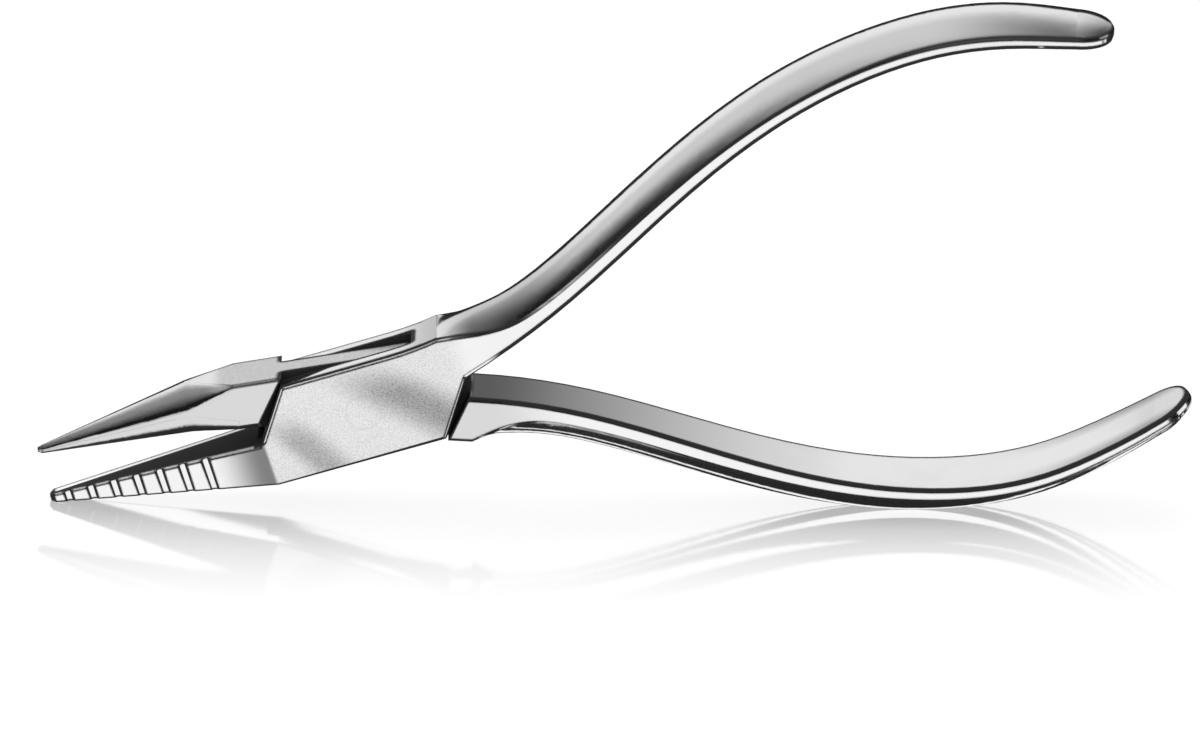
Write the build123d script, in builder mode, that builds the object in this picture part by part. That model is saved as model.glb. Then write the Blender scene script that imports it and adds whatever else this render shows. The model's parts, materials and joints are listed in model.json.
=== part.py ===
"""Orthodontic loop-forming pliers: two forged halves that cross in a box joint and turn on a flush pin.

Lengths are in millimetres and angles in degrees. Each half is drawn in a flat frame of its own, with the pin
at its origin: s runs along the line where the beaks meet, towards the handles, and n stands square to it.
"""

import math
import os

from build123d import *

# Stance: the pliers stand open on the tip of the lower beak and the bend of the lower handle
PIVOT_FROM_MIDDLE = -28.15
PIVOT_HEIGHT = 12.43
BOX_TILT = 17.6
OPENING = 7.4

# Box joint: the box, the slot through it, the tongue in the slot and the pin
BOX_THICKNESS = 7.2
BOX_WIDTH = 11.5
BOX_FLAT = 8.0
BOX_END_ANGLE = 56.0
SLOT_CORNER = 7.5
SLOT_WALL_ANGLE = 46.5
TONGUE_THICKNESS = 3.0
TONGUE_WIDTH = 11.2
TONGUE_CORNER = 6.0
PIN_DIAMETER = 4.0
EDGE_BREAK = 0.35

# Running clearances
SLIDE_CLEARANCE = 0.1
PIN_CLEARANCE = 0.03
SHOULDER_CLEARANCE = 0.25
BEAK_CLEARANCE = 0.05

# Beaks: both reach the same length from the pin and meet on a line a little below it
BEAK_REACH = 37.2
MEETING_LINE = -0.3
SQUARE_ROOT_REACH = 12.3
SQUARE_ROOT_SLANT = 0.6
SQUARE_ROOT_DROP = 5.6
SQUARE_TIP_WIDTH = 1.7
SQUARE_TIP_DROP = 1.4
SQUARE_BEVEL = 0.4
ROUND_ROOT_WIDTH = 6.65
ROUND_ROOT_REACH = 14.0
ROUND_ROOT_EDGE = 0.3
ROUND_ROOT_HEEL = 1.5
ROUND_CONE_REACH = 19.5
ROUND_CONE_DIAMETER = 5.85
ROUND_TIP_DIAMETER = 0.95
CONE_ROUNDNESS = 0.99
TIP_ROUNDING = 0.5
TIP_END_SHARE = 0.55

# Sizing grooves across the front face of the square beak
GROOVE_COUNT = 7
GROOVE_PITCH = 2.7
GROOVE_FIRST = 2.1
GROOVE_RADIUS = 0.6
GROOVE_DEPTH_TOP = 0.3
GROOVE_DEPTH_LOW = 0.22

# Handles: points on the flat inner face from root to tip, with the slope at both ends
UPPER_BOW = [(12.2, 0.6), (23.5, 4.75), (40.0, 13.2), (56.0, 20.2), (72.5, 23.05), (90.0, 19.2)]
UPPER_ROOT_SLOPE = 17.0
UPPER_TIP_SLOPE = -22.0
UPPER_TIP_DEPTH = 2.3
LOWER_BOW = [(12.6, 0.4), (23.5, 3.9), (40.0, 12.1), (56.0, 18.55), (69.0, 20.4), (87.3, 16.1)]
LOWER_ROOT_SLOPE = 13.0
LOWER_TIP_SLOPE = -20.0
LOWER_TIP_DEPTH = 2.7
TIP_WIDTH = 8.6
TIP_SIDE = 1.0
INNER_BEVEL_DEPTH = 0.12
INNER_BEVEL_HEIGHT = 0.45
ROOT_CROWN = 0.05
ROOT_RISE = 0.48
ROOT_RISE_START = 4.5

# Handle stations: share of the inner face's length, width, height of the flat side, depth at the crown
UPPER_ROOT_STATIONS = [(0.035, 7.2, 4.2, 5.65), (0.075, 7.2, 2.6, 5.0)]
LOWER_ROOT_STATIONS = [(0.035, 7.2, 3.6, 5.2), (0.075, 7.2, 2.2, 4.85)]
HANDLE_STATIONS = [
    (0.13, 7.2, 1.7, 4.5),
    (0.35, 7.7, 1.55, 4.4),
    (0.58, 8.8, 1.3, 4.1),
    (0.78, 9.6, 1.2, 3.45),
    (0.92, 9.4, 1.1, 3.0),
]
HANDLE_STEPS = 16
HANDLE_SPREAD = 1.4

PIVOT = (PIVOT_FROM_MIDDLE, 0, PIVOT_HEIGHT)
TONGUE_TILT = BOX_TILT - OPENING
SLOT_WIDTH = TONGUE_THICKNESS + 2 * SLIDE_CLEARANCE
CUT_REACH = BOX_WIDTH
TOUCHING = 0.001
BEVEL_PASSES = 20


def flat_frame(tilt, upwards=True):
    """Plane of a half's side view, with n up, or down for a handle that bows downwards."""
    along = (math.cos(math.radians(tilt)), 0, math.sin(math.radians(tilt)))
    return Plane(origin=PIVOT, x_dir=along, z_dir=(0, -1 if upwards else 1, 0))


def cross_plane(frame, s, n, along):
    """Plane of a cross-section at (s, n): x runs across the pliers, y square to the direction along."""
    direction = frame.x_dir * along[0] + frame.y_dir * along[1]
    return Plane(origin=frame.from_local_coords((s, n)), x_dir=-frame.z_dir, z_dir=direction)


def slanted_end(n, clearance=0.0):
    """Distance s from the pin to the slanted end of the box at height n, or to a shoulder clear of it."""
    angle = math.radians(BOX_END_ANGLE)
    return BOX_FLAT + (BOX_WIDTH / 2 - n) / math.tan(angle) + clearance / math.sin(angle)


def plate(frame, points, thickness, mode=Mode.ADD):
    """Plate with the given outline in a half's frame, centred on the pliers' middle plane."""
    with BuildSketch(frame) as outline:
        with BuildLine():
            Polyline(*points, close=True)
        make_face()
    extrude(outline.sketch, amount=thickness / 2, both=True, mode=mode)


def square_section(plane, width, low, high, bevel):
    """Cross-section of the square beak: flat faces with the two edges of the meeting face bevelled."""
    half = width / 2
    edge = half - bevel
    brow = high - bevel
    with BuildSketch(plane) as section:
        with BuildLine():
            flat_faces = [(-half, brow), (-half, low), (half, low), (half, brow)]
            Polyline(*flat_faces, (edge, high), (-edge, high), close=True)
        make_face()
    return section.sketch


def round_section(plane, width, low, high, top_radius, low_radius):
    """Cross-section of the round beak: a block with rounded corners, or a circle where the radii fill it."""
    with BuildSketch(plane) as section:
        with Locations((0, (low + high) / 2)):
            Rectangle(width, high - low)
        corners = section.vertices().group_by(Axis.Y)
        fillet(corners[-1], top_radius)
        fillet(section.vertices().group_by(Axis.Y)[0], low_radius)
    return section.sketch


def cone_section(frame, reach, diameter, low):
    """Cross-section of the round beak where it is a cone, at a distance from the pin."""
    radius = CONE_ROUNDNESS * diameter / 2
    plane = cross_plane(frame, -reach, 0, (1, 0))
    return round_section(plane, diameter, low, low + diameter, radius, radius)


def handle_spine(bow, root_slope, tip_slope):
    """Line along the middle of a handle's inner face, in its half's frame."""
    ends = [(math.cos(math.radians(a)), math.sin(math.radians(a))) for a in (root_slope, tip_slope)]
    with BuildLine() as spine:
        Spline(*bow, tangents=ends)
    return spine.edge()


def half_handle_outline(width, side, depth):
    """Draws one half of a handle's cross-section: crown, bevel, upright side, bevel and flat inner face."""
    half = width / 2
    brow = side + EDGE_BREAK
    lean = 0.0
    for _ in range(BEVEL_PASSES):
        shoulder = half - EDGE_BREAK * math.tan(math.pi / 4 - lean / 2)
        lean = 2 * math.atan((depth - brow) / shoulder)
    pull = shoulder / math.sin(lean) * math.tan(lean / 4) * 4 / 3
    level_pull = (-pull, depth)
    slope_pull = (pull * math.cos(lean) - shoulder, brow + pull * math.sin(lean))
    crown = Bezier((0, depth), level_pull, slope_pull, (-shoulder, brow))
    Polyline(crown @ 1, (-half, side), (-half, INNER_BEVEL_HEIGHT), (INNER_BEVEL_DEPTH - half, 0), (0, 0))


def handle_section(plane, width, side, depth):
    """Cross-section of a handle: flat inner face, upright sides and a crowned outer face."""
    with BuildSketch(plane) as section:
        with BuildLine():
            half_handle_outline(width, side, depth)
            mirror(about=Plane.YZ)
        make_face()
    return section.sketch


def handle_tip(plane, width, side, depth):
    """Round end of a handle: half of its last cross-section turned about the middle."""
    with BuildSketch(plane) as profile:
        with BuildLine():
            half_handle_outline(width, side, depth)
            Line((0, 0), (0, depth))
        make_face()
    revolve(profile.sketch, axis=Axis(plane.origin, plane.y_dir), revolution_arc=180)


def at_share(stations, share):
    """Width, side and depth at a share of the handle's length, on smooth curves that level out at the tip."""
    first = max(index for index, station in enumerate(stations[:-1]) if station[0] <= share)
    before, start, end, after = (stations[min(max(first + k, 0), len(stations) - 1)] for k in (-1, 0, 1, 2))
    run = end[0] - start[0]
    t = (share - start[0]) / run
    size = []
    for a, b, c, d in zip(before[1:], start[1:], end[1:], after[1:]):
        start_rise = (c - a) / (end[0] - before[0]) * run
        end_rise = 0.0 if after is end else (d - b) / (after[0] - start[0]) * run
        bend_start = t * (1 - t) ** 2 * start_rise
        bend_end = t**2 * (t - 1) * end_rise
        size.append(b + (c - b) * t**2 * (3 - 2 * t) + bend_start + bend_end)
    return size


def handle(frame, spine, root_depth, root_stations, tip_depth, root_run=0.0):
    """Handle lofted along its spine from a full block, which may run on into the joint, to a round tip."""
    root = (0.0, BOX_THICKNESS, root_depth - EDGE_BREAK - ROOT_CROWN, root_depth)
    tip = (1.0, TIP_WIDTH, TIP_SIDE, tip_depth)
    stations = [root, *root_stations, *HANDLE_STATIONS, tip]
    sections = []
    for step in range(HANDLE_STEPS + 1):
        share = (step / HANDLE_STEPS) ** HANDLE_SPREAD
        point = spine @ share
        slope = spine % share
        station = cross_plane(frame, point.X, point.Y, (slope.X, slope.Y))
        size = at_share(stations, share)
        sections.append(handle_section(station, *size))
    loft(sections)
    handle_tip(station, *size)
    if root_run:
        extrude(sections[0], amount=-root_run)


def is_broken_edge(edge):
    """True for an edge on a side face of the box along its upper edge or one of its slanted ends."""
    place = box_frame.to_local_coords(edge.center())
    on_top = place.Y > BOX_WIDTH / 2 - TOUCHING
    on_left_end = abs(place.X + slanted_end(place.Y)) < TOUCHING
    on_right_end = abs(place.X - slanted_end(-place.Y)) < TOUCHING
    on_side = abs(abs(place.Z) - BOX_THICKNESS / 2) < TOUCHING
    return on_side and (on_top or on_left_end or on_right_end)


def root_top(bow, root_slope, rise=0.0):
    """Depth of a handle's root, and the corner where its outer face leaves the edge of the joint."""
    angle = math.radians(root_slope)
    s, n = bow[0]
    top = BOX_WIDTH / 2 + rise
    depth = (top - n) / math.cos(angle)
    return depth, (s - depth * math.sin(angle), top)


os.makedirs("parts", exist_ok=True)

box_frame = flat_frame(BOX_TILT)
tongue_frame = flat_frame(TONGUE_TILT)
lower_frame = flat_frame(TONGUE_TILT, upwards=False)
upper_root_depth, upper_root_corner = root_top(UPPER_BOW, UPPER_ROOT_SLOPE, ROOT_RISE)
lower_root_depth, _ = root_top(LOWER_BOW, LOWER_ROOT_SLOPE)

# Half with the square beak, the box and the upper handle
square_face = MEETING_LINE - BEAK_CLEARANCE
slot_run = (BOX_WIDTH / 2) / math.tan(math.radians(SLOT_WALL_ANGLE))
slot_corners = [
    (SLOT_CORNER - slot_run, CUT_REACH),
    (SLOT_CORNER + slot_run, 0),
    (SLOT_CORNER + slot_run, -CUT_REACH),
]
slot_outline = slot_corners + [(-s, -n) for s, n in slot_corners]

with BuildPart() as box_half:
    # Square beak: a pyramid whose tip is rounded off
    tip_reach = BEAK_REACH - TIP_ROUNDING
    root_height = SQUARE_ROOT_DROP + square_face
    tip_height = SQUARE_TIP_DROP + square_face
    root_lean = math.atan2(SQUARE_ROOT_SLANT, root_height)
    root_along = (math.cos(root_lean), math.sin(root_lean))
    end_top = (TIP_END_SHARE - 1) * tip_height / 2
    beak_stations = [
        (SQUARE_ROOT_REACH, root_along, BOX_THICKNESS, -root_height / math.cos(root_lean), 0, SQUARE_BEVEL),
        (tip_reach, (1, 0), SQUARE_TIP_WIDTH, -tip_height, 0, SQUARE_BEVEL * TIP_END_SHARE),
        (
            BEAK_REACH,
            (1, 0),
            SQUARE_TIP_WIDTH * TIP_END_SHARE,
            -tip_height - end_top,
            end_top,
            SQUARE_BEVEL * TIP_END_SHARE**2,
        ),
    ]
    beak_sections = []
    for reach, along, *size in beak_stations:
        beak_sections.append(square_section(cross_plane(box_frame, -reach, square_face, along), *size))
    loft(beak_sections, ruled=True)

    # Sizing grooves, cut deeper at the meeting face than at the lower edge
    narrowing = (BOX_THICKNESS - SQUARE_TIP_WIDTH) / (tip_reach - SQUARE_ROOT_REACH)
    lowering = (root_height - tip_height) / (tip_reach - SQUARE_ROOT_REACH)
    for step in range(GROOVE_COUNT):
        reach = BEAK_REACH - GROOVE_FIRST - step * GROOVE_PITCH
        front = (SQUARE_TIP_WIDTH + (tip_reach - reach) * narrowing) / 2
        height = tip_height + (tip_reach - reach) * lowering
        groove_run = box_frame.y_dir * height + box_frame.z_dir * (GROOVE_DEPTH_LOW - GROOVE_DEPTH_TOP)
        groove_start = (-reach, square_face, front + GROOVE_RADIUS - GROOVE_DEPTH_TOP)
        groove_plane = Plane(origin=box_frame.from_local_coords(groove_start), z_dir=groove_run)
        with BuildSketch(groove_plane):
            Circle(GROOVE_RADIUS)
        extrude(amount=BOX_WIDTH, both=True, mode=Mode.SUBTRACT)

    # Box: straight along the top, then rising in an arc to the root of the handle
    with BuildSketch(box_frame):
        with BuildLine():
            top = Line((-BOX_FLAT, BOX_WIDTH / 2), (ROOT_RISE_START, BOX_WIDTH / 2))
            rise = TangentArc(top @ 1, upper_root_corner, tangent=(1, 0))
            Polyline(
                rise @ 1,
                UPPER_BOW[0],
                (slanted_end(0), 0),
                (BOX_FLAT, -BOX_WIDTH / 2),
                (SQUARE_ROOT_SLANT - SQUARE_ROOT_REACH, -SQUARE_ROOT_DROP),
                (-SQUARE_ROOT_REACH, square_face),
                (-slanted_end(square_face), square_face),
                top @ 0,
            )
        make_face()
    extrude(amount=BOX_THICKNESS / 2, both=True)
    chamfer(box_half.edges().filter_by(is_broken_edge), EDGE_BREAK)

    upper_spine = handle_spine(UPPER_BOW, UPPER_ROOT_SLOPE, UPPER_TIP_SLOPE)
    handle(box_frame, upper_spine, upper_root_depth, UPPER_ROOT_STATIONS, UPPER_TIP_DEPTH)
    plate(box_frame, slot_outline, SLOT_WIDTH, mode=Mode.SUBTRACT)
    with BuildSketch(box_frame):
        Circle(PIN_DIAMETER / 2)
    extrude(amount=BOX_THICKNESS, both=True, mode=Mode.SUBTRACT)

box_half.part.label = "box_half"
export_step(box_half.part, "parts/box_half.step")

# Half with the round beak, the tongue and the lower handle
tongue_corners = [
    (-slanted_end(TONGUE_WIDTH / 2, SHOULDER_CLEARANCE), TONGUE_WIDTH / 2),
    (TONGUE_CORNER, TONGUE_WIDTH / 2),
    (slanted_end(0, SHOULDER_CLEARANCE), 0),
]
tongue_outline = tongue_corners + [(-s, -n) for s, n in tongue_corners]
round_low = MEETING_LINE + BEAK_CLEARANCE
box_room_corners = [
    (-slanted_end(CUT_REACH, SHOULDER_CLEARANCE), CUT_REACH),
    (slanted_end(-CUT_REACH, SHOULDER_CLEARANCE), CUT_REACH),
]
box_room_outline = box_room_corners + [(-s, -n) for s, n in box_room_corners]

with BuildPart() as tongue_half:
    # Round beak: a cone with a rounded tip, its blend into a block, and the block up to the joint
    end_diameter = TIP_END_SHARE * ROUND_TIP_DIAMETER
    end_low = round_low + (ROUND_TIP_DIAMETER - end_diameter) / 2
    cone_end = cone_section(tongue_frame, BEAK_REACH, end_diameter, end_low)
    cone_tip = cone_section(tongue_frame, BEAK_REACH - TIP_ROUNDING, ROUND_TIP_DIAMETER, round_low)
    cone_base = cone_section(tongue_frame, ROUND_CONE_REACH, ROUND_CONE_DIAMETER, round_low)
    root_plane = cross_plane(tongue_frame, -ROUND_ROOT_REACH, 0, (1, 0))
    root_block = round_section(
        root_plane, ROUND_ROOT_WIDTH, round_low, TONGUE_WIDTH / 2, ROUND_ROOT_EDGE, ROUND_ROOT_HEEL
    )
    loft([cone_end, cone_tip, cone_base], ruled=True)
    loft([cone_base, root_block])
    extrude(root_block, amount=ROUND_ROOT_REACH)

    lower_spine = handle_spine(LOWER_BOW, LOWER_ROOT_SLOPE, LOWER_TIP_SLOPE)
    handle(
        lower_frame, lower_spine, lower_root_depth, LOWER_ROOT_STATIONS, LOWER_TIP_DEPTH, root_run=BOX_FLAT
    )

    # Room for the box between the two shoulders, crossed by the tongue
    plate(tongue_frame, box_room_outline, 2 * BOX_THICKNESS, mode=Mode.SUBTRACT)
    plate(tongue_frame, tongue_outline, TONGUE_THICKNESS)
    with BuildSketch(tongue_frame):
        Circle(PIN_DIAMETER / 2 + PIN_CLEARANCE)
    extrude(amount=BOX_THICKNESS, both=True, mode=Mode.SUBTRACT)

tongue_half.part.label = "tongue_half"
export_step(tongue_half.part, "parts/tongue_half.step")

# Pin, riveted and ground flush with both faces of the box
with BuildPart() as pivot_pin:
    with BuildSketch(box_frame):
        Circle(PIN_DIAMETER / 2)
    extrude(amount=BOX_THICKNESS / 2, both=True)

pivot_pin.part.label = "pivot_pin"
export_step(pivot_pin.part, "parts/pivot_pin.step")
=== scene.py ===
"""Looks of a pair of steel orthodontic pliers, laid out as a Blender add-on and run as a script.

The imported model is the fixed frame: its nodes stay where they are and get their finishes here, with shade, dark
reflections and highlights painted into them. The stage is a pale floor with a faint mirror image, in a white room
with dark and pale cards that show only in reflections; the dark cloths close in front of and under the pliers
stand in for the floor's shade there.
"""

import json
import math

import bpy
from bpy.props import FloatProperty, FloatVectorProperty, PointerProperty
from mathutils import Matrix, Vector


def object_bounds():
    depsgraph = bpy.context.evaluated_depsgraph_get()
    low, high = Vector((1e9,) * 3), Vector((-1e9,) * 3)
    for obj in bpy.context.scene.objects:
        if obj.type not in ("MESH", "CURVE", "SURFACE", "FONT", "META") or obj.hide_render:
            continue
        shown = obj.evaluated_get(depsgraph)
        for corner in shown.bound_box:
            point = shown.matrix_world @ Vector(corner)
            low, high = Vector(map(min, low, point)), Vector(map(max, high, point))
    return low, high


bl_info = {
    "name": "Orthodontic Pliers",
    "version": (1, 0, 0),
    "blender": (4, 5, 0),
    "location": "View3D > Sidebar > Pliers",
    "description": "Finishes and stage for a pair of box-joint pliers",
    "category": "Object",
}

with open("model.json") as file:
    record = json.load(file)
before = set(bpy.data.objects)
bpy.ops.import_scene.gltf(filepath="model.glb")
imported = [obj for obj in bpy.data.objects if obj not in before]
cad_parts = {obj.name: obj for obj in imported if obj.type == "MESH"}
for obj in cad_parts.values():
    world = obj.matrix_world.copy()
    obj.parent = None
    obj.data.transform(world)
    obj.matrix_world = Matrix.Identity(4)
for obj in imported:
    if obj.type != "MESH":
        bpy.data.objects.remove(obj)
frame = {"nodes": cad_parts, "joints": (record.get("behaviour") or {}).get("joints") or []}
CAD_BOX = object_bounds()
PIVOT = Vector(frame["joints"][0]["pos_m"])
MM = 0.001
WHITE = (1.0, 1.0, 1.0, 1.0)

# Picture: its size, the pin's place in it from the upper left, and its scale
PHOTO_WIDTH = 1200
PHOTO_HEIGHT = 755
PIN_FROM_LEFT = 364
PIN_FROM_TOP = 400
PIXELS_PER_METRE = 8900.0
CAMERA_DISTANCE = 0.6
CAMERA_CLIP = (0.01, 20.0)

# Zones of a finish: each has a strength and its limits, and holds where all the limits do. A limit names a
# measure, the value where it is off and the value where it is on. Places are in millimetres: s from the pin along
# the line of the beaks, n up from it, y across and off_middle either way across. Facings run from -1 to 1: up,
# sideways either way, endways either way, and inwards at the tip of a handle.
FACINGS = ("up", "sideways", "endways", "inwards")
# The black and dark grey masks paint shade and dark reflections into the steel, the dark grey also a grey tone on
# the tongue's top; the pale mask paints highlights; satin is the ground finish and smooth zones get no edge lines
MASKS = ("black", "satin", "painted_shade_and_grey", "painted_highlight", "smooth")
END_FACE = [("endways", 0.72, 0.76), ("sideways", 0.5, 0.4)]
SLANT_FACE = [("sideways", 0.5, 0.6), ("sideways", 0.85, 0.75)]
OUTER_FACE = [("up", 0.1, 0.3)]
HANDLE_BEVEL = [("sideways", 0.93, 0.95), ("sideways", 0.99, 0.98), ("s", 15.0, 17.0)]
TIP_BEVEL = [("inwards", 0.12, 0.18), ("inwards", 0.5, 0.4)]

# Half with the box. A slant is a measure made of shares of s and n, and the rim gives the half width of the
# square beak: from s to s, and from width to width
WITHIN_BOX = [("s", -13.2, -13.0), ("s", 13.4, 13.2)]
MEETING_FACE = [("up", 0.9, 0.95), ("s", -11.0, -11.2)]
CHEEK = [*WITHIN_BOX, ("sideways", 0.96, 0.99), ("s", -12.1, -11.6), ("s", 14.5, 10.5)]
CROWN = [("up", 0.5, 0.6)]
UPPER_TIP_TURN = math.radians(-22)
BOX_FINISH_AND_SHADE = {
    "tilt": math.radians(17.6),
    "tip_lean": math.radians(180 + 22),
    "rim": (-36.7, -12.3, 0.85, 3.6),
    "slants": {
        "across_band": (1.0, 1.0),
        "across_corner": (1.0, 0.58),
        "along_tip": (math.cos(UPPER_TIP_TURN), math.sin(UPPER_TIP_TURN)),
    },
    # Black zones: painted shade in the slot, in the gaps at the box's slanted ends, in the grooves and on the
    # square beak's meeting face under the other beak; painted dark reflections on the handle's inner and tip
    # bevels and along the inner part of the box's edge chamfers; a painted shade line along the cheeks' lower rim
    "black": {
        "slot": (1.0, [*WITHIN_BOX, ("off_middle", 1.75, 1.65), ("n", 5.7, 5.6)]),
        "ends": (1.0, [*WITHIN_BOX, *END_FACE]),
        "meeting face": (1.0, [*MEETING_FACE, ("from_rim", 1.1, 1.2)]),
        "groove walls": (1.0, [("endways", 0.4, 0.5), ("s", -14.0, -14.4)]),
        "inner bevel": (1.0, [*HANDLE_BEVEL, ("s", 87.0, 86.0)]),
        "tip bevel": (1.0, [*TIP_BEVEL, ("s", 86.0, 87.0)]),
        "chamfers": (1.0, [*WITHIN_BOX, *SLANT_FACE, ("off_middle", 3.46, 3.4)]),
        "low rim": (1.0, [*WITHIN_BOX, ("sideways", 0.9, 0.95), ("n", -5.4, -5.45)]),
    },
    "satin": {"cheeks": (1.0, CHEEK)},
    # Dark grey zones are painted dark reflections and shade: bands on the cheeks, beside the box, a line on the
    # shelf, the root and the near side of the handle next to the joint, and the handle's tip
    "painted_shade_and_grey": {
        "band": (0.52, [*CHEEK, ("across_band", -0.4, 5.2), ("across_band", 11.4, 6.2), ("n", 7.0, 1.0)]),
        "corner": (
            0.42,
            [*CHEEK, ("across_corner", -11.8, -9.0), ("across_corner", -4.8, -8.2), ("n", 3.5, -1.5)],
        ),
        "beside box": (0.8, [("sideways", 0.6, 0.9), ("s", -11.6, -12.1), ("s", -18.5, -12.6)]),
        "shelf": (0.4, [*OUTER_FACE, ("s", 4.5, 10.4), ("s", 10.8, 10.4)]),
        "root": (0.32, [*OUTER_FACE, ("s", 9.0, 15.0), ("s", 36.0, 18.0)]),
        "near side reflection": (0.8, [*OUTER_FACE, ("y", 0.5, -3.0), ("s", 10.5, 15.0), ("s", 32.0, 18.0)]),
        "tip": (0.75, [*OUTER_FACE, ("s", 74.0, 90.0), ("sideways", 0.0, 0.5)]),
        "cap": (0.15, [*OUTER_FACE, ("along_tip", 76.1, 76.4), ("along_tip", 79.5, 76.4)]),
    },
    # Pale zones are painted highlights: the slanted edges and the far rim of the square beak's meeting face turn
    # from metal to pale non-metal
    "painted_highlight": {
        "edges": (1.0, [*SLANT_FACE, ("s", 12.5, 11.5), ("endways", 0.72, 0.7)]),
        "beak rim": (1.0, [*MEETING_FACE, ("from_rim", 1.2, 1.1)]),
    },
    "smooth": {
        "root": (1.0, [*CROWN, ("s", 8.6, 9.0), ("s", 13.6, 13.2), ("off_middle", 3.2, 3.0)]),
        "tip": (
            1.0,
            [*CROWN, ("along_tip", 75.2, 75.4), ("along_tip", 77.4, 77.2), ("off_middle", 3.9, 3.7)],
        ),
    },
}

# Half with the tongue
WITHIN_JOINT = [("s", -13.8, -13.6), ("s", 13.8, 13.6)]
TONGUE_TOP = [("up", 0.9, 0.95), ("s", -17.0, -15.0), ("n", 4.5, 5.0)]
INNER_FACE = [("up", 0.6, 0.7)]
TONGUE_FINISH_AND_SHADE = {
    "tilt": math.radians(10.2),
    "tip_lean": math.radians(-20),
    "rim": None,
    "slants": {},
    # Black zones: painted shade on the shoulders, on the tongue's sides in the slot and under the round beak;
    # painted dark reflections on the handle's inner and tip bevels
    "black": {
        "shoulders": (1.0, [*WITHIN_JOINT, *END_FACE]),
        "tongue sides": (1.0, [*WITHIN_JOINT, ("off_middle", 1.6, 1.52), ("up", 0.9, 0.8)]),
        "beak underside": (1.0, [("up", -0.3, -0.5), ("s", -12.0, -12.4)]),
        "inner bevel": (1.0, [*HANDLE_BEVEL, ("s", 84.0, 83.0)]),
        "tip bevel": (1.0, [*TIP_BEVEL, ("s", 83.0, 84.0)]),
    },
    "satin": {"top": (1.0, TONGUE_TOP)},
    # Dark grey zones: a grey tone on the tongue's ground top, painted shade on the inner face and the sides
    # towards the joint, and painted dark reflections along the handle's tip rim and on the round beak's flanks
    "painted_shade_and_grey": {
        "top": (0.32, TONGUE_TOP),
        "root": (1.0, [*INNER_FACE, ("s", 12.0, 12.4), ("s", 45.0, 13.0)]),
        "root sides": (0.25, [("sideways", 0.6, 0.9), ("s", 24.0, 14.0)]),
        "tip rim": (0.6, [*INNER_FACE, ("s", 66.0, 86.0), ("off_middle", 1.4, 4.2)]),
        "beak flanks": (0.6, [("sideways", 0.1, 0.55), ("up", 0.05, 0.25), ("s", -14.5, -17.5)]),
    },
    "painted_highlight": {},
    "smooth": {"cone": (1.0, [("up", -0.2, 0.0), ("s", -21.0, -20.6), ("s", -18.2, -18.6)])},
}

FINISHES_AND_SHADE = {"box_half": BOX_FINISH_AND_SHADE, "tongue_half": TONGUE_FINISH_AND_SHADE, "pivot_pin": BOX_FINISH_AND_SHADE}

# Dark lines painted along hard edges, a painted shade and dark reflection there: reach on the sides and on upper
# faces, which are seen at a slant, and how far the rounded normal has to turn; near the flush pin they are weak
EDGE_LINE = 0.36 * MM
TOP_EDGE_LINE = 0.8 * MM
TOP_FACING = (0.5, 0.8)
LINE_SAMPLES = 8
LINE_AGREEMENT = (0.9995, 0.994)
PIN_RADII = (2.4 * MM, 2.7 * MM)
PIN_LINE = 0.05

# Grain, smudges and polishing streaks of the steel
GRAIN_SCALE = 7000.0
GRAIN_DETAIL = 3.0
SMUDGE_SCALE = 140.0
SMUDGE_DETAIL = 4.0
STREAK_SCALE = (400.0, 4000.0, 4000.0)
STREAK_DETAIL = 2.0
SPECKLE = (0.35, 0.75)
SPECKLE_SHARE = 0.32
WEAR = (0.45, 0.8)
WEAR_SHARE = 0.06
STREAK_ROUGHNESS = 0.05
STREAK_RELIEF = 0.3
RELIEF_STRENGTH = 0.12
RELIEF_DEPTH = 0.02 * MM
SATIN_SCATTER = 0.4
# Roughness and shine of the black that paints shade and dark reflections
BLACK_SHADE_ROUGHNESS = 0.6
BLACK_SHADE_SHINE = 0.1

# Places of the colour sockets on a mix node, which has sockets of other kinds with the same names
MIX_FROM = 6
MIX_TO = 7
MIX_RESULT = 2

# Floor: mostly white, partly matt, with a mirror image that fades away from the pliers. The tint makes up for the
# grey of the card that the mirror shows to the camera
FLOOR_SIZE = 8.0
FLOOR_GREY = (0.9, 0.9, 0.9, 1.0)
FLOOR_MATT_SHARE = 0.22
MIRROR_TINT = (1.14, 1.14, 1.14, 1.0)
MIRROR_ROUGHNESS = 0.09
MIRROR_REACH = (0.003, 0.040)
MIRROR_SHARE = 0.46

# Cloths on the floor that only reflections show: reach along X, reach along Y and tone. The dark cloths close in
# front of and under the pliers (near, second and under) stand in for the floor's shade there, a painted shadow
# that the steel reflects
CARD_LIFT = 0.05 * MM
FLOOR_CLOTHS = [
    ("front_cloth", (-7.0, 7.0), (-3.0, -0.17), 0.01),
    ("pale_front_cloth", (-7.0, 7.0), (-0.17, -0.007), 1.0),
    ("pale_tip_cloth", (-7.0, -0.042), (-0.007, -0.0005), 1.0),
    ("near_cloth", (-0.042, 7.0), (-0.007, -0.0022), 0.02),
    ("pale_line_cloth", (-0.042, 7.0), (-0.0022, -0.001), 1.0),
    ("second_cloth", (-0.042, 7.0), (-0.001, -0.0005), 0.02),
    ("under_cloth", (-7.0, 7.0), (-0.0005, 0.0025), 0.02),
    ("pale_under_cloth", (-7.0, 7.0), (0.0025, 0.007), 1.0),
    ("far_cloth", (-7.0, 7.0), (0.007, 0.014), 0.02),
    ("pale_rear_cloth", (-7.0, 7.0), (0.014, 0.03), 0.95),
    ("rear_cloth", (-7.0, 7.0), (0.03, 3.0), 0.02),
]

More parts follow.
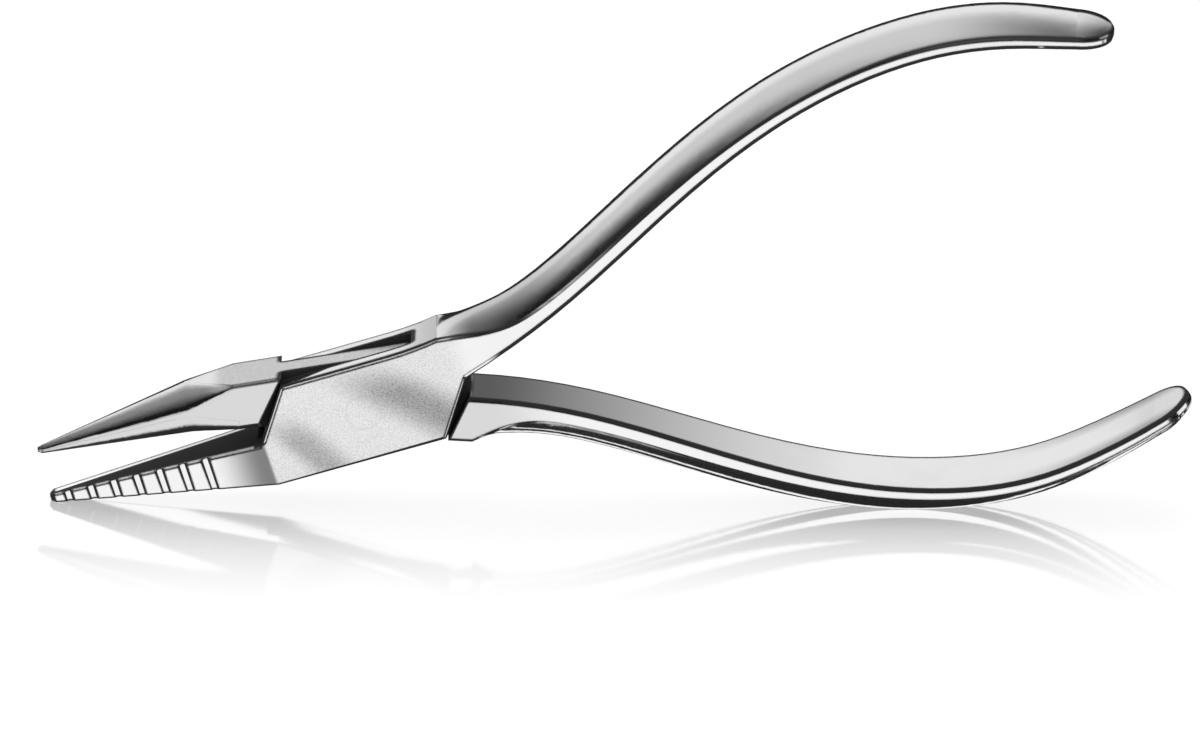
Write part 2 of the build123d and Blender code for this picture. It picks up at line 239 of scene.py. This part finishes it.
# Arched card: its size, its tones by the angle over the floor, from the front over the top to the back, and how
# it darkens along X from one place to another
ARCH_RADIUS = 3.0
ARCH_LENGTH = 14.0
ARCH_SIDES = 180
HALF_TURN = 180
ARCH_TONES = [
    (0, 0.01),
    (18, 0.02),
    (34, 0.18),
    (50, 0.34),
    (64, 0.48),
    (78, 0.58),
    (92, 0.64),
    (125, 0.66),
    (146, 0.86),
    (168, 0.88),
    (172, 0.02),
    (180, 0.02),
]
ARCH_SHADE_START = 0.35
ARCH_SHADE_END = 1.6
ARCH_SHADE = 0.1

# Lamp overhead, a little behind the pliers and turned to them
LAMP_BACK = 0.25
LAMP_HEIGHT = 0.9
LAMP_SIZE = 0.6
LAMP_POWER = 4.5


class PliersSteelAndShade(bpy.types.PropertyGroup):
    """Colours and roughness of the steel, with the dark grey and black of its painted shade."""

    steel_colour: FloatVectorProperty(
        name="Steel",
        description="Colour of the polished steel",
        subtype="COLOR",
        size=3,
        min=0.0,
        max=1.0,
        default=(0.90, 0.90, 0.90),
    )
    # Dark grey of the painted shade and dark reflections in the steel, also used for the smudges of wear and the
    # speckle of the ground cheeks
    grey_shade_and_wear_colour: FloatVectorProperty(
        name="Grey Shade and Wear",
        description="Colour of the steel where the polish is thin",
        subtype="COLOR",
        size=3,
        min=0.0,
        max=1.0,
        default=(0.05, 0.05, 0.05),
    )
    # Black of the painted shade and dark reflections: in the joint, between the beaks and along hard edges
    black_shade_colour: FloatVectorProperty(
        name="Black Shade",
        description="Colour of the black-finished faces inside the joint and between the beaks",
        subtype="COLOR",
        size=3,
        min=0.0,
        max=1.0,
        default=(0.022, 0.022, 0.022),
    )
    polish: FloatProperty(
        name="Polish",
        description="Roughness of the polished handles and beaks",
        subtype="FACTOR",
        min=0.0,
        max=1.0,
        default=0.09,
    )
    satin: FloatProperty(
        name="Satin",
        description="Roughness of the ground cheeks",
        subtype="FACTOR",
        min=0.0,
        max=1.0,
        default=0.34,
    )


class PliersStage(bpy.types.PropertyGroup):
    """Place of the camera and width of its picture."""

    azimuth: FloatProperty(
        name="Azimuth",
        description="Camera's turn round the pliers",
        subtype="ANGLE",
        default=math.radians(0.9),
    )
    elevation: FloatProperty(
        name="Elevation",
        description="Camera's height over the floor",
        subtype="ANGLE",
        default=math.radians(24.0),
    )
    picture_width: FloatProperty(
        name="Picture Width",
        description="Width that the picture takes in at the pliers",
        subtype="DISTANCE",
        unit="LENGTH",
        default=PHOTO_WIDTH / PIXELS_PER_METRE,
    )


def new_material(name):
    """An empty node material, and its node tree."""
    material = bpy.data.materials.new(name)
    material.use_nodes = True
    material.node_tree.nodes.clear()
    return material, material.node_tree


def feed(tree, socket, value):
    """Joins a socket to another one, or sets its value."""
    if isinstance(value, bpy.types.NodeSocket):
        tree.links.new(value, socket)
    else:
        socket.default_value = value


def add_node(tree, kind, *values, **settings):
    """A node of a kind with its settings made and its first inputs set or joined."""
    node = tree.nodes.new(kind)
    for key, value in settings.items():
        setattr(node, key, value)
    for socket, value in zip(node.inputs, values):
        feed(tree, socket, value)
    return node


def number(tree, operation, *values):
    """Result of a sum on numbers or sockets."""
    return add_node(tree, "ShaderNodeMath", *values, operation=operation).outputs[0]


def square(tree, value):
    """Square of a number."""
    return number(tree, "MULTIPLY", value, value)


def rest_of(tree, share):
    """What a share leaves of 1."""
    return number(tree, "SUBTRACT", 1.0, share)


def ramp_between(tree, value, start, end, low, high):
    """Straight change from one result at a start value to another at an end value."""
    return add_node(tree, "ShaderNodeMapRange", value, start, end, low, high).outputs[0]


def fade(tree, value, start, end):
    """Mask that goes softly from 0 at one value to 1 at another."""
    node = add_node(tree, "ShaderNodeMapRange", value, start, end, interpolation_type="SMOOTHSTEP")
    return node.outputs[0]


def noise(tree, place, scale, detail):
    """Fine noise at a place."""
    texture = add_node(tree, "ShaderNodeTexNoise", place)
    texture.inputs["Scale"].default_value = scale
    texture.inputs["Detail"].default_value = detail
    return texture.outputs["Fac"]


def mix_of_two(tree, first, first_share, second, second_share):
    """Sum of shares of two numbers."""
    return number(tree, "MULTIPLY_ADD", second, second_share, number(tree, "MULTIPLY", first, first_share))


def measure(tree, half):
    """A point's place in a half's own flat frame, and the measures there that the limits of zones name."""
    tilt = half["tilt"]
    spot = add_node(tree, "ShaderNodeTexCoord")
    place = add_node(
        tree, "ShaderNodeMapping", spot.outputs["Object"], PIVOT, (0, -tilt, 0), vector_type="TEXTURE"
    ).outputs[0]
    facing = add_node(
        tree, "ShaderNodeMapping", spot.outputs["Normal"], (0, 0, 0), (0, tilt, 0), vector_type="VECTOR"
    ).outputs[0]
    s, y, n = add_node(tree, "ShaderNodeSeparateXYZ", place).outputs
    along, across, up = add_node(tree, "ShaderNodeSeparateXYZ", facing).outputs
    lean = half["tip_lean"]
    measures = {
        "s": s,
        "n": n,
        "y": y,
        "up": up,
        "off_middle": number(tree, "ABSOLUTE", y),
        "sideways": number(tree, "ABSOLUTE", across),
        "endways": number(tree, "ABSOLUTE", along),
        "inwards": mix_of_two(tree, along, math.sin(lean), up, math.cos(lean)),
    }
    for name, (s_share, n_share) in half["slants"].items():
        measures[name] = mix_of_two(tree, s, s_share, n, n_share)
    if half["rim"]:
        half_width = ramp_between(tree, s, *(length * MM for length in half["rim"]))
        measures["from_rim"] = number(tree, "SUBTRACT", half_width, y)
    return place, measures


def finish_and_shade_mask(tree, measures, zones):
    """Mask that holds in any of the zones, in each at its strength."""
    mask = 0.0
    for strength, limits in zones.values():
        zone = strength
        for name, off, on in limits:
            unit = 1.0 if name in FACINGS else MM
            zone = number(tree, "MULTIPLY", zone, fade(tree, measures[name], off * unit, on * unit))
        mask = number(tree, "MAXIMUM", mask, zone)
    return mask


def painted_edge_lines(tree, measures, smooth):
    """Thin dark lines painted along hard edges as shade and dark reflections; weak round the flush pin, none on
    smooth zones.
    """
    flat_normal = add_node(tree, "ShaderNodeNewGeometry").outputs["Normal"]
    reach = ramp_between(tree, measures["up"], *TOP_FACING, EDGE_LINE, TOP_EDGE_LINE)
    round_normal = add_node(tree, "ShaderNodeBevel", reach, samples=LINE_SAMPLES).outputs[0]
    agree = add_node(tree, "ShaderNodeVectorMath", flat_normal, round_normal, operation="DOT_PRODUCT")
    lines = fade(tree, agree.outputs["Value"], *LINE_AGREEMENT)
    squares = number(tree, "ADD", square(tree, measures["s"]), square(tree, measures["n"]))
    from_pin = number(tree, "SQRT", squares)
    strength = ramp_between(tree, from_pin, *PIN_RADII, PIN_LINE, 1.0)
    drawn = number(tree, "MULTIPLY", lines, strength)
    return number(tree, "MULTIPLY", drawn, rest_of(tree, smooth))


def steel(name, finish, half):
    """Polished steel with fine wear, satin where it is ground, with shade and dark reflections painted in black
    and dark grey, and highlights painted where it is made pale.
    """
    material, tree = new_material(name)
    place, measures = measure(tree, half)
    black, satin, painted_shade_and_grey, painted_highlight, smooth = (finish_and_shade_mask(tree, measures, half[key]) for key in MASKS)

    grain = noise(tree, place, GRAIN_SCALE, GRAIN_DETAIL)
    smudge = noise(tree, place, SMUDGE_SCALE, SMUDGE_DETAIL)
    stretched = add_node(tree, "ShaderNodeMapping", place, (0, 0, 0), (0, 0, 0), STREAK_SCALE)
    streaks = noise(tree, stretched.outputs[0], 1.0, STREAK_DETAIL)

    speckle = number(tree, "MULTIPLY", fade(tree, grain, *SPECKLE), SPECKLE_SHARE)
    # Darkening: painted shade and dark reflections from the dark grey zones, and speckle of the grain on the satin
    shade_and_grain = number(tree, "ADD", painted_shade_and_grey, number(tree, "MULTIPLY", satin, speckle))
    worn = number(tree, "MULTIPLY", fade(tree, smudge, *WEAR), WEAR_SHARE)
    colour = add_node(tree, "ShaderNodeMix", data_type="RGBA")
    feed(tree, colour.inputs["Factor"], number(tree, "MAXIMUM", shade_and_grain, worn))
    feed(tree, colour.inputs[MIX_FROM], (*finish.steel_colour, 1.0))
    feed(tree, colour.inputs[MIX_TO], (*finish.grey_shade_and_wear_colour, 1.0))

    rough = ramp_between(tree, satin, 0.0, 1.0, finish.polish, finish.satin)
    relief = number(tree, "MULTIPLY", satin, grain)
    bump = add_node(tree, "ShaderNodeBump")
    bump.inputs["Strength"].default_value = RELIEF_STRENGTH
    bump.inputs["Distance"].default_value = RELIEF_DEPTH
    feed(tree, bump.inputs["Height"], number(tree, "MULTIPLY_ADD", streaks, STREAK_RELIEF, relief))

    # Painted highlights of the pale zones, and the scatter of the satin, turn the steel partly into pale non-metal
    highlight_and_satin_scatter = number(tree, "MAXIMUM", painted_highlight, number(tree, "MULTIPLY", satin, SATIN_SCATTER))
    metal = add_node(tree, "ShaderNodeBsdfPrincipled")
    feed(tree, metal.inputs["Metallic"], rest_of(tree, highlight_and_satin_scatter))
    feed(tree, metal.inputs["Base Color"], colour.outputs[MIX_RESULT])
    feed(tree, metal.inputs["Roughness"], number(tree, "MULTIPLY_ADD", streaks, STREAK_ROUGHNESS, rough))
    feed(tree, metal.inputs["Normal"], bump.outputs[0])
    dark = add_node(tree, "ShaderNodeBsdfPrincipled")
    dark.inputs["Base Color"].default_value = (*finish.black_shade_colour, 1.0)
    dark.inputs["Roughness"].default_value = BLACK_SHADE_ROUGHNESS
    dark.inputs["Specular IOR Level"].default_value = BLACK_SHADE_SHINE
    feed(tree, dark.inputs["Normal"], bump.outputs[0])
    # Black zones and edge lines paint shade and dark reflections with the black material
    painted_dark = number(tree, "MAXIMUM", black, painted_edge_lines(tree, measures, smooth))
    surface = add_node(tree, "ShaderNodeMixShader", painted_dark, metal.outputs[0], dark.outputs[0])
    add_node(tree, "ShaderNodeOutputMaterial", surface.outputs[0])
    return material


class PLIERS_OT_finish(bpy.types.Operator):
    """Give the two halves and the pin their steel"""

    bl_idname = "pliers.finish"
    bl_label = "Finish Steel"

    def execute(self, context):
        for node, half in FINISHES_AND_SHADE.items():
            piece = frame["nodes"][node]
            piece.material_slots[0].material = steel(node + "_steel", context.scene.pliers_finish, half)
        return {"FINISHED"}


def floor_material():
    """Pale floor with a soft shadow and a faint, blurred mirror image that fades away from the pliers."""
    material, tree = new_material("pale_floor")
    matt = add_node(tree, "ShaderNodeBsdfDiffuse", FLOOR_GREY)
    white = add_node(tree, "ShaderNodeEmission", WHITE, 1.0)
    mirror = add_node(tree, "ShaderNodeBsdfGlossy", MIRROR_TINT, MIRROR_ROUGHNESS)
    pale = add_node(tree, "ShaderNodeMixShader", FLOOR_MATT_SHARE, white.outputs[0], matt.outputs[0])
    spot = add_node(tree, "ShaderNodeTexCoord")
    axes = add_node(tree, "ShaderNodeSeparateXYZ", spot.outputs["Object"])
    away = number(tree, "ABSOLUTE", axes.outputs["Y"])
    near = ramp_between(tree, away, *MIRROR_REACH, 1.0, 0.0)
    share = number(tree, "MULTIPLY", square(tree, near), MIRROR_SHARE)
    sheen = add_node(tree, "ShaderNodeMixShader", share, pale.outputs[0], mirror.outputs[0])
    add_node(tree, "ShaderNodeOutputMaterial", sheen.outputs[0])
    return material


def cloth_material(name, tone):
    """Cloth of one even tone that lies on the floor and doesn't shade it: its underside is clear."""
    material, tree = new_material(name)
    glow = add_node(tree, "ShaderNodeEmission", (tone, tone, tone, 1.0), 1.0)
    clear = add_node(tree, "ShaderNodeBsdfTransparent")
    side = add_node(tree, "ShaderNodeNewGeometry")
    surface = add_node(
        tree, "ShaderNodeMixShader", side.outputs["Backfacing"], glow.outputs[0], clear.outputs[0]
    )
    add_node(tree, "ShaderNodeOutputMaterial", surface.outputs[0])
    return material


def arch_material():
    """Tones of the arched card: black at the front, grey overhead, pale behind and black low at the back."""
    material, tree = new_material("arch_card")
    spot = add_node(tree, "ShaderNodeTexCoord")
    axes = add_node(tree, "ShaderNodeSeparateXYZ", spot.outputs["Object"])
    front = number(tree, "MULTIPLY", axes.outputs["Y"], -1.0)
    angle = number(tree, "ARCTAN2", axes.outputs["Z"], front)
    ramp = add_node(tree, "ShaderNodeValToRGB", number(tree, "DIVIDE", angle, math.pi))
    stops = ramp.color_ramp.elements
    stops[0].position = ARCH_TONES[0][0] / HALF_TURN
    stops[1].position = ARCH_TONES[-1][0] / HALF_TURN
    for degrees, _ in ARCH_TONES[1:-1]:
        stops.new(degrees / HALF_TURN)
    for stop, (_, tone) in zip(stops, ARCH_TONES):
        stop.color = (tone, tone, tone, 1.0)
    shade = ramp_between(tree, axes.outputs["X"], ARCH_SHADE_START, ARCH_SHADE_END, 1.0, ARCH_SHADE)
    glow = add_node(tree, "ShaderNodeEmission", ramp.outputs[0], shade)
    add_node(tree, "ShaderNodeOutputMaterial", glow.outputs[0])
    return material


def set_card(card, name, material):
    """Names a card and shows it in reflections only."""
    card.name = name
    card.data.materials.append(material)
    card.visible_camera = False
    card.visible_diffuse = False
    card.visible_shadow = False


def set_camera(context, stage):
    """Sets the camera so that the pin comes where the picture has it."""
    turn, height = stage.azimuth, stage.elevation
    across = Vector((math.cos(turn), math.sin(turn), 0))
    level = math.cos(height)
    back = Vector((math.sin(turn) * level, -math.cos(turn) * level, math.sin(height)))
    upward = back.cross(across)
    pixel = stage.picture_width / PHOTO_WIDTH
    right_of_pin = (PHOTO_WIDTH / 2 - PIN_FROM_LEFT) * pixel
    above_pin = (PIN_FROM_TOP - PHOTO_HEIGHT / 2) * pixel
    middle = PIVOT + across * right_of_pin + upward * above_pin
    bpy.ops.object.camera_add()
    camera = context.object
    camera.name = "camera"
    camera.data.type = "ORTHO"
    camera.data.ortho_scale = stage.picture_width
    camera.data.clip_start, camera.data.clip_end = CAMERA_CLIP
    facing = Matrix((across, upward, back)).transposed().to_4x4()
    camera.matrix_world = Matrix.Translation(middle + back * CAMERA_DISTANCE) @ facing
    context.scene.camera = camera


def set_floor(context):
    """Lays the floor under the pliers, with its cloths."""
    height = CAD_BOX[0].z
    bpy.ops.mesh.primitive_plane_add(size=FLOOR_SIZE, location=(0, 0, height))
    floor = context.object
    floor.name = "floor"
    floor.data.materials.append(floor_material())
    for name, (left, right), (front, rear), tone in FLOOR_CLOTHS:
        middle = ((left + right) / 2, (front + rear) / 2, height + CARD_LIFT)
        bpy.ops.mesh.primitive_plane_add(size=1.0, location=middle)
        cloth = context.object
        cloth.scale = (right - left, rear - front, 1.0)
        set_card(cloth, name, cloth_material(name, tone))


def set_arch(context):
    """Bends the arched card over the pliers: a tube along X without its lower half."""
    bpy.ops.mesh.primitive_cylinder_add(
        vertices=ARCH_SIDES,
        radius=ARCH_RADIUS,
        depth=ARCH_LENGTH,
        end_fill_type="NOTHING",
        rotation=(0, math.pi / 2, 0),
    )
    arch = context.object
    bpy.ops.object.transform_apply(location=False, rotation=True, scale=False)
    bpy.ops.object.mode_set(mode="EDIT")
    bpy.ops.mesh.select_all(action="DESELECT")
    bpy.ops.object.mode_set(mode="OBJECT")
    for face in arch.data.polygons:
        face.select = face.center.z < 0
    bpy.ops.object.mode_set(mode="EDIT")
    bpy.ops.mesh.delete(type="FACE")
    bpy.ops.object.mode_set(mode="OBJECT")
    set_card(arch, "arch", arch_material())


def set_light(context):
    """Hangs the lamp and makes the room white."""
    bpy.ops.object.light_add(type="AREA", location=(0.0, LAMP_BACK, LAMP_HEIGHT))
    lamp = context.object
    lamp.name = "overhead_lamp"
    lamp.rotation_euler = (-math.atan2(LAMP_BACK, LAMP_HEIGHT), 0, 0)
    lamp.data.size = LAMP_SIZE
    lamp.data.energy = LAMP_POWER
    lamp.visible_glossy = False

    world = bpy.data.worlds.new("white_room")
    context.scene.world = world
    world.use_nodes = True
    tree = world.node_tree
    tree.nodes.clear()
    white = add_node(tree, "ShaderNodeBackground", WHITE, 1.0)
    add_node(tree, "ShaderNodeOutputWorld", white.outputs[0])


class PLIERS_OT_stage(bpy.types.Operator):
    """Set the camera, the floor with its cloths, the arched card, the lamp and the white room"""

    bl_idname = "pliers.stage"
    bl_label = "Set Stage"

    def execute(self, context):
        context.scene.view_settings.view_transform = "Standard"
        set_camera(context, context.scene.pliers_stage)
        set_floor(context)
        set_arch(context)
        set_light(context)
        return {"FINISHED"}


class PLIERS_PT_panel(bpy.types.Panel):
    """Lists the steps and their settings"""

    bl_label = "Pliers"
    bl_idname = "PLIERS_PT_panel"
    bl_space_type = "VIEW_3D"
    bl_region_type = "UI"
    bl_category = "Pliers"

    def draw(self, context):
        layout = self.layout
        for group in (context.scene.pliers_finish, context.scene.pliers_stage):
            for key in group.__annotations__:
                layout.prop(group, key)
        for operator in (PLIERS_OT_finish, PLIERS_OT_stage):
            layout.operator(operator.bl_idname)


CLASSES = (PliersSteelAndShade, PliersStage, PLIERS_OT_finish, PLIERS_OT_stage, PLIERS_PT_panel)


def register():
    """Registers the classes and hangs the settings on the scene."""
    for item in CLASSES:
        bpy.utils.register_class(item)
    bpy.types.Scene.pliers_finish = PointerProperty(type=PliersSteelAndShade)
    bpy.types.Scene.pliers_stage = PointerProperty(type=PliersStage)


def unregister():
    """Takes the settings and classes away again."""
    del bpy.types.Scene.pliers_stage
    del bpy.types.Scene.pliers_finish
    for item in reversed(CLASSES):
        bpy.utils.unregister_class(item)


def main():
    """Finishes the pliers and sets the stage."""
    register()
    bpy.ops.pliers.finish()
    bpy.ops.pliers.stage()


if __name__ == "__main__":
    main()
